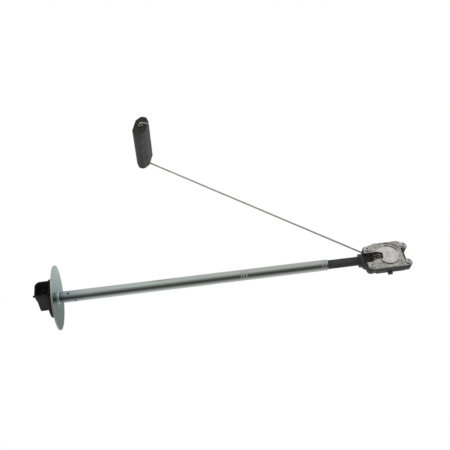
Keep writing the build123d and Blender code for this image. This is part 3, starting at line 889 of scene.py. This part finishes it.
@dataclass
class FlangeAndTube:
    """The pressed flange, the weld ring and the crimped tube."""

    flange_radius: float = 33.9
    flange_thickness: float = 1.5
    rim_round: float = 0.45
    foot_share: float = 0.3
    tube_radius: float = 6.0
    tube_wall: float = 1.0
    tube_length: float = 288.8
    seat_radius: float = 8.9
    seat_depth: float = 0.3
    weld_width: float = 0.9
    weld_height: float = 1.6
    weld_round: float = 0.85
    weld_steps: int = 8
    weld_overlap: float = 0.05
    vent_radius: float = 1.1
    vent_drops: tuple[float, float] = (11.1, 17.8)
    drill_reach: float = 12.0
    drill_steps: int = 32
    crimp_rises: tuple[float, ...] = (94.9, 92.0, 89.1, 5.6, 2.4)
    crimp_width: float = 1.6
    crimp_depth: float = 0.4
    crimp_steps: int = 8
    flange_steps: int = 160
    tube_steps: int = 96

    def flange(self) -> None:
        """Builds the flange with its coined weld seat and rounded rim."""
        inner, outer, top = self.tube_radius, self.flange_radius, self.flange_thickness
        low_rim = rounded((outer, 0), (inner, 0), (outer, top), self.foot_share * self.rim_round)
        high_rim = rounded((outer, top), (outer, 0), (inner, top), self.rim_round)
        seat = [(inner, self.seat_depth), (self.seat_radius - self.seat_depth, self.seat_depth), (self.seat_radius, 0)]
        profile = [*seat, *low_rim, *high_rim, (inner, top)]
        mesh = lathe(profile, self.flange_steps, closed=True)
        add_piece("flange_plate", mesh, FLANGE_ZINC, Body.SENDER, "zinc_plate", "flange_disc")

    def weld(self) -> None:
        """Builds the weld ring as a soft bead."""
        inner, outer, low = self.tube_radius, self.tube_radius + self.weld_width, -self.weld_height
        hidden = inner - self.weld_overlap
        bead = rounded((outer, low), (outer, 0), (inner, low), self.weld_round * self.weld_width, self.weld_steps)
        profile = [(hidden, self.seat_depth), (outer, self.seat_depth), *bead, (hidden, low)]
        mesh = lathe(profile, self.tube_steps, closed=True)
        add_piece("weld_bead", mesh, WELD_HIGHLIGHT_ZINC, Body.SENDER, "zinc_plate", "weld_ring")

    def side(self, radius: float) -> list[tuple[float, float]]:
        """Draws one side of the tube's wall, with a soft vee at each crimp.

        Args:
            radius: The side's radius.

        Returns:
            Its points from top to bottom, as radius and height.
        """
        points = [(radius, self.flange_thickness)]
        for rise in self.crimp_rises:
            centre = rise - self.tube_length
            # One step beyond either end, where the vee is level, ends its smooth shading
            for i in range(-1, self.crimp_steps + 2):
                t = 2 * i / self.crimp_steps - 1
                depth = self.crimp_depth * (0.5 + 0.5 * math.cos(math.pi * min(1.0, abs(t))))
                points.append((radius - depth, centre - t * self.crimp_width / 2))
        points.append((radius, -self.tube_length))
        return points

    def tube(self) -> None:
        """Builds the tube with its crimps, its plain square mouth and cross-drilled vents."""
        outside = self.side(self.tube_radius)
        inside = self.side(self.tube_radius - self.tube_wall)
        mesh = lathe([*outside, *reversed(inside)], self.tube_steps, closed=True)
        drills = []
        reach = self.drill_reach
        for drop, axis in zip(self.vent_drops, ("X", "Y")):
            side = [(0, -reach), (self.vent_radius, -reach), (self.vent_radius, reach), (0, reach)]
            drill = lathe(side, self.drill_steps)
            turn = Matrix.Rotation(math.radians(90), 4, axis)
            drill.transform(Matrix.Translation((0, 0, -drop * MM)) @ turn)
            drills.append(drill)
        add_piece("sender_tube", cut(mesh, drills), TUBE_ZINC, Body.SENDER, "tube_plate", "tube")

    def build(self) -> None:
        """Builds the three pieces."""
        self.flange()
        self.weld()
        self.tube()


class PlugHead:
    """The moulded head with its gasket and blades."""

    def build(self) -> None:
        """Builds the head and finishes what sits in it."""
        RefinedNode(
            "connector_head", "head_moulding", HEAD_NYLON, Body.SENDER, "black_plastic", edge_mm=0.35, edge_steps=3
        ).build()
        finish_nodes({"terminal_pin_1": TIN_PLATE, "terminal_pin_2": TIN_PLATE, "head_gasket": NITRILE})


@dataclass
class Housing:
    """The moulded carrier, its cover, cap, screws and the electrical pieces inside."""

    screw_pitch: tuple[float, float] = (21.2, 41.0)
    screw_offset: tuple[float, float] = (0.3, 1.0)
    plate_face: float = 4.0
    head_radius: float = 2.9
    head_height: float = 1.8
    head_steps: int = 48
    dome_steps: int = 8
    dome_foot: float = 0.35
    dome_fullness: tuple[float, float] = (0.75, 0.6)
    recess: tuple[float, float, float] = (3.5, 1.3, 1.6)
    recess_taper: float = 0.8
    screw_twist: float = 90.0
    screw_seed: int = 4

    def screw_places(self) -> list[Vector]:
        """Finds the four screw seats on the cover's face.

        Returns:
            Their places, in metres.
        """
        places = []
        for side in (1, -1):
            for end in (1, -1):
                x = self.screw_offset[0] + side * self.screw_pitch[0] / 2
                z = self.screw_offset[1] + end * self.screw_pitch[1] / 2 - PIVOT_DROP
                places.append(Vector((x, -self.plate_face, z)) * MM)
        return places

    def screw_shape(self) -> bpy.types.Mesh:
        """Models one pan head with its cross recess, at the origin and facing -Y.

        Returns:
            Its mesh.
        """
        dome = [(0, self.head_height)]
        out, up = self.dome_fullness
        for i in range(1, self.dome_steps + 1):
            angle = math.radians(i * 90 / self.dome_steps)
            rise = (1 - self.dome_foot) * math.cos(angle) ** up if i < self.dome_steps else 0
            dome.append((self.head_radius * math.sin(angle) ** out, self.head_height * (self.dome_foot + rise)))
        profile = [*dome, (self.head_radius, 0), (0, 0)]
        head = lathe(profile, self.head_steps)
        length, width, depth = self.recess
        slots = []
        for turn in (0, 90):
            work = bmesh.new()
            bmesh.ops.create_cube(work, size=1.0)
            slot = bpy.data.meshes.new("recess")
            work.to_mesh(slot)
            work.free()
            for vert in slot.vertices:
                if vert.co.z < 0:
                    vert.co.x *= self.recess_taper
                    vert.co.y *= self.recess_taper
            size = Matrix.Diagonal((length * MM, width * MM, 2 * depth * MM, 1.0))
            rise = Matrix.Translation((0, 0, self.head_height * MM))
            slot.transform(Matrix.Rotation(math.radians(turn), 4, "Z") @ rise @ size)
            slots.append(slot)
        head = cut(head, slots)
        head.transform(Matrix.Rotation(math.radians(90), 4, "X"))
        return head

    def screws(self) -> None:
        """Builds the four cover screws as one piece."""
        mesh = RepeatTree("cover_screw_repeat").grow(
            self.screw_places(), self.screw_shape(), self.screw_twist, self.screw_seed, SCREW_ZINC
        )
        nodes = [f"cover_screw_{number}" for number in (1, 2, 3, 4)]
        add_piece("cover_screws", mesh, SCREW_ZINC, Body.SENDER, "screw_plate", *nodes)

    def build(self) -> None:
        """Builds the housing from the carrier out."""
        RefinedNode("carrier", "carrier_moulding", BLACK_NYLON, Body.SENDER, "black_plastic", edge_mm=0.3).build()
        RefinedNode("cover_plate", "cover_casting", COVER_CASTING, Body.SENDER, "cast_cover", edge_mm=0.25).build()
        RefinedNode("pivot_cap", "cap_casting", CAP_CASTING, Body.SENDER, "cast_cap", edge_mm=0.15).build()
        self.screws()
        finish_nodes({"pivot_bush": BRASS, "resistor_board": ALUMINA, "lead_grommet": NITRILE})
        for number in (1, 2):
            finish_nodes({f"board_post_{number}": TIN_PLATE, f"lead_{number}": LEAD_SLEEVE})


@dataclass
class LeverAndFloat:
    """The lever with its bent wire, and the float that turns on it."""

    arm_angle: float = 36.1
    arm_length: float = 313.6
    arm_plane: float = 11.0
    arm_radius: float = 1.0
    hook_setback: float = 7.0
    hook_top: float = 8.4
    tip_plane: float = -56.4
    tip_length: float = 9.7
    tip_turn: float = 197.0
    bends: tuple[float, float, float] = (1.4, 1.9, 2.0)

    def along_arm(self, distance: float, y: float) -> Vector:
        """Returns the point at a distance along the arm, in metres."""
        angle = math.radians(self.arm_angle)
        return Vector((distance * math.sin(angle), y, distance * math.cos(angle) - PIVOT_DROP)) * MM

    def wire(self) -> None:
        """Builds the bent wire."""
        turn = math.radians(self.tip_turn)
        corner = self.along_arm(self.arm_length, self.tip_plane)
        tip = corner + Vector((math.sin(turn), 0, math.cos(turn))) * self.tip_length * MM
        path = [
            (self.along_arm(-self.hook_setback, self.hook_top), 0.0),
            (self.along_arm(-self.hook_setback, self.arm_plane), self.bends[0]),
            (self.along_arm(self.arm_length, self.arm_plane), self.bends[1]),
            (corner, self.bends[2]),
            (tip, 0.0),
        ]
        mesh = WireTree("bent_wire").sweep(path, self.arm_radius, ARM_STEEL)
        add_piece("arm_wire", mesh, ARM_STEEL, Body.LEVER, "wire_steel", "float_arm")

    def build(self) -> None:
        """Builds the moving pieces."""
        self.wire()
        RefinedNode("lever_hub", "lever_moulding", BLACK_ACETAL, Body.LEVER, "rotor_plastic", edge_mm=0.3).build()
        RefinedNode("float_washer", "front_washer", BRASS, Body.LEVER, "brass", edge_mm=0.15).build()
        RefinedNode("float_stop", "rear_washer", BRASS, Body.LEVER, "brass", edge_mm=0.15).build()
        RefinedNode("float", "float_bar", FLOAT_FOAM, Body.FLOAT, "float_rubber", edge_mm=0.5, edge_steps=3).build()
        finish_nodes({"pivot_shaft": ARM_STEEL, "rotor": BLACK_ACETAL, "wiper": BRASS, "float_bush": BRASS})


@dataclass(frozen=True)
class Lamp:
    """A soft square lamp. Its place is in metres right of, above and behind what it lights, as the camera sees it."""

    name: str
    place: tuple[float, float, float]
    size_mm: float
    watts: float

    def hang(self, turn: Matrix, target: Vector) -> None:
        """Hangs the lamp, out of sight of shiny surfaces.

        Args:
            turn: The camera's turn, with columns right, up and back.
            target: What it points at, in metres.
        """
        data = bpy.data.lights.new(self.name, "AREA")
        data.shape = "SQUARE"
        data.size = self.size_mm * MM
        data.energy = self.watts
        lamp = link_object(self.name, data)
        away = turn @ Vector(self.place)
        lamp.location = target + away
        lamp.rotation_euler = (-away).to_track_quat("-Z", "Y").to_euler()
        lamp.visible_glossy = False


@dataclass
class Studio:
    """The floor, the lamps, the world and the camera."""

    camera_place: tuple[float, float, float] = (-342.1, -594.1, -118.5)
    camera_azimuth: float = 34.60
    camera_pitch: float = -5.38
    camera_roll: float = -96.52
    lens: float = 51.12
    sensor: float = 36.0
    camera_reach: float = 50.0
    floor_drop: float = 1600.0
    floor_size: float = 9000.0
    paper: str = "#F4F4F4"
    shaded_paper: str = "#5A5A5A"
    glow_level: float = 0.95
    white: str = "#FFFFFF"
    room_colour: str = "#F2F5F8"
    room_level: float = 0.55
    lamps: tuple[Lamp, ...] = (
        Lamp("key", (0.87, 0.36, 0.29), size_mm=600, watts=9),
        Lamp("fill", (-0.5, -0.8, 0.5), size_mm=900, watts=3),
        Lamp("front", (0.0, 0.1, 1.2), size_mm=400, watts=4),
    )
    lamp_target: tuple[float, float, float] = (60.0, -10.0, -190.0)
    flag_direction: tuple[float, float] = (-0.888, -0.46)
    flag_reach: float = 1000.0
    flag_heights: tuple[float, float] = (-1300.0, 1000.0)
    flag_spread: float = 65.0
    flag_steps: int = 24
    flag_lean: float = 0.24
    flag_stops: tuple[tuple[float, str], ...] = (
        (0.03, "#EEEEEE"), (0.1, "#D6D6D6"), (0.2, "#A8A8A8"), (0.28, "#8E8E8E"), (0.4, "#666666"),
        (0.5, "#565656"), (0.6, "#5C5C5C"), (0.68, "#727272"), (0.76, "#9C9C9C"), (0.86, "#C4C4C4"),
        (0.97, "#D8D8D8"),
    )
    card_place: tuple[float, float, float] = (150.0, 260.0, -52.0)
    card_across: tuple[float, float, float] = (-0.866, 0.499, 0.0)
    card_offset: float = 0.25
    card_width: float = 240.0
    card_height: float = 260.0
    card_stops: tuple[tuple[float, str], ...] = (
        (0.05, "#FFFFFF"), (0.16, "#E6E6E6"), (0.22, "#D2D2D2"), (0.28, "#ABABAB"), (1.0, "#ABABAB"),
    )

    def camera(self) -> Matrix:
        """Builds the camera.

        Returns:
            Its turn, with columns right, up and back.
        """
        azimuth, pitch = math.radians(self.camera_azimuth), math.radians(self.camera_pitch)
        forward = Vector(
            (math.sin(azimuth) * math.cos(pitch), math.cos(azimuth) * math.cos(pitch), math.sin(pitch))
        )
        level = forward.cross(Vector((0, 0, 1))).normalized()
        upright = level.cross(forward)
        turn = Matrix((level, upright, -forward)).transposed() @ Matrix.Rotation(
            math.radians(self.camera_roll), 3, "Z"
        )
        data = bpy.data.cameras.new("camera")
        data.lens = self.lens
        data.sensor_width = self.sensor
        data.clip_end = self.camera_reach
        shot = link_object("camera", data)
        shot.matrix_world = Matrix.Translation(Vector(self.camera_place) * MM) @ turn.to_4x4()
        bpy.context.scene.camera = shot
        return turn

    @staticmethod
    def background_rays(tree: bpy.types.NodeTree) -> Any:
        """Picks the rays that see the background: camera, glossy and transmission rays.

        Args:
            tree: The material's or the world's node tree.

        Returns:
            A socket that is 1 for those rays and 0 for the rest.
        """
        ray = add_node(tree, "ShaderNodeLightPath").outputs
        direct = add_node(
            tree, "ShaderNodeMath", {0: ray["Is Camera Ray"], 1: ray["Is Glossy Ray"]}, operation="MAXIMUM"
        )
        return add_node(
            tree, "ShaderNodeMath", {0: direct.outputs[0], 1: ray["Is Transmission Ray"]}, operation="MAXIMUM"
        ).outputs[0]

    def card(self, name: str, corners: Sequence[Vector], faces: Sequence[tuple[int, ...]], run: Vector,
             start: float, stops: Sequence[tuple[float, str]]) -> None:
        """Hangs a soft-edged card beside the object, which only shiny surfaces mirror.

        Args:
            name: The card's name.
            corners: Its points, in metres.
            faces: Its faces, as corner numbers.
            run: The direction in which its tone changes, over the length of the change, in metres.
            start: Where along run the tone starts to change, as a share of that length.
            stops: Its tones from start on.
        """
        mesh = bpy.data.meshes.new(name)
        mesh.from_pydata(list(corners), [], list(faces))
        material = bpy.data.materials.new(name + "_cloth")
        tree = cleared_tree(material)
        place = add_node(tree, "ShaderNodeTexCoord").outputs["Object"]
        scale = run / run.length_squared
        along = add_node(tree, "ShaderNodeVectorMath", {0: place, 1: scale}, operation="DOT_PRODUCT").outputs["Value"]
        level = add_node(tree, "ShaderNodeMath", {0: along, 1: start}, operation="SUBTRACT").outputs[0]
        cloth = add_node(tree, "ShaderNodeEmission", {"Color": blend_colours(tree, level, stops)})
        add_node(tree, "ShaderNodeOutputMaterial", {"Surface": cloth.outputs[0]})
        mesh.materials.append(material)
        card = link_object(name, mesh)
        card.visible_camera = False
        card.visible_diffuse = False
        card.visible_shadow = False
        card.visible_transmission = False

    def cards(self) -> None:
        """Hangs a curved dark flag beside the camera for the tube, and a grey card behind the flange."""
        middle = Vector((*self.flag_direction, 0.0)).normalized() * self.flag_reach * MM
        low, high = (Vector((0.0, 0.0, z * MM)) for z in self.flag_heights)
        corners, faces = [], []
        for i in range(self.flag_steps + 1):
            turn = math.radians(self.flag_spread * (2 * i / self.flag_steps - 1))
            place = Matrix.Rotation(turn, 3, "Z") @ middle
            corners += [place + low, place + high]
            if i:
                faces.append((2 * i - 2, 2 * i, 2 * i + 1, 2 * i - 1))
        across = Matrix.Rotation(math.radians(90), 3, "Z") @ middle * 2
        across.z = self.flag_lean * across.length
        self.card("tube_flag", corners, faces, across, -0.5, self.flag_stops)
        centre = Vector(self.card_place) * MM
        across = Vector(self.card_across).normalized() * self.card_width * MM
        upward = Vector((0.0, 0.0, self.card_height / 2 * MM))
        start = centre - across * self.card_offset
        corners = [start - upward, start + across - upward, start + across + upward, start + upward]
        offset = start.dot(across) / across.length_squared
        self.card("flange_card", corners, [(0, 1, 2, 3)], across, offset, self.card_stops)

    def floor(self) -> None:
        """Builds a plain white floor that still takes the object's shadow."""
        half = self.floor_size / 2 * MM
        mesh = bpy.data.meshes.new("floor")
        mesh.from_pydata(
            [(-half, -half, 0), (half, -half, 0), (half, half, 0), (-half, half, 0)], [], [(0, 1, 2, 3)]
        )
        mesh.transform(Matrix.Translation((0, 0, -self.floor_drop * MM)))
        material = bpy.data.materials.new("studio_floor")
        tree = cleared_tree(material)
        paper = add_node(tree, "ShaderNodeBsdfDiffuse", {"Color": linear(self.paper)})
        glow = add_node(tree, "ShaderNodeEmission", {"Color": linear(self.white), "Strength": self.glow_level})
        faint = add_node(tree, "ShaderNodeBsdfDiffuse", {"Color": linear(self.shaded_paper)})
        bright = add_node(tree, "ShaderNodeAddShader", {0: glow.outputs[0], 1: faint.outputs[0]})
        mixed = add_node(
            tree,
            "ShaderNodeMixShader",
            {0: self.background_rays(tree), 1: paper.outputs[0], 2: bright.outputs[0]},
        )
        add_node(tree, "ShaderNodeOutputMaterial", {"Surface": mixed.outputs[0]})
        mesh.materials.append(material)
        link_object("floor", mesh)

    def world(self) -> None:
        """Lights the room softly, with a white background behind the object."""
        room = bpy.data.worlds.new("room")
        bpy.context.scene.world = room
        tree = cleared_tree(room)
        soft = add_node(tree, "ShaderNodeBackground", {"Color": linear(self.room_colour), "Strength": self.room_level})
        plain = add_node(tree, "ShaderNodeBackground", {"Color": linear(self.white), "Strength": 1.0})
        mixed = add_node(
            tree, "ShaderNodeMixShader", {0: self.background_rays(tree), 1: soft.outputs[0], 2: plain.outputs[0]}
        )
        add_node(tree, "ShaderNodeOutputWorld", {"Surface": mixed.outputs[0]})

    def build(self) -> None:
        """Sets the stage round the object."""
        turn = self.camera()
        for lamp in self.lamps:
            lamp.hang(turn, Vector(self.lamp_target) * MM)
        self.floor()
        self.cards()
        self.world()
        bpy.context.scene.view_settings.view_transform = "Standard"


def main() -> None:
    """Builds the sender and its studio."""
    logging.basicConfig(level=logging.INFO, format="%(name)s %(message)s")
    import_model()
    FlangeAndTube().build()
    PlugHead().build()
    Housing().build()
    LeverAndFloat().build()
    Studio().build()


if __name__ == "__main__":
    main()
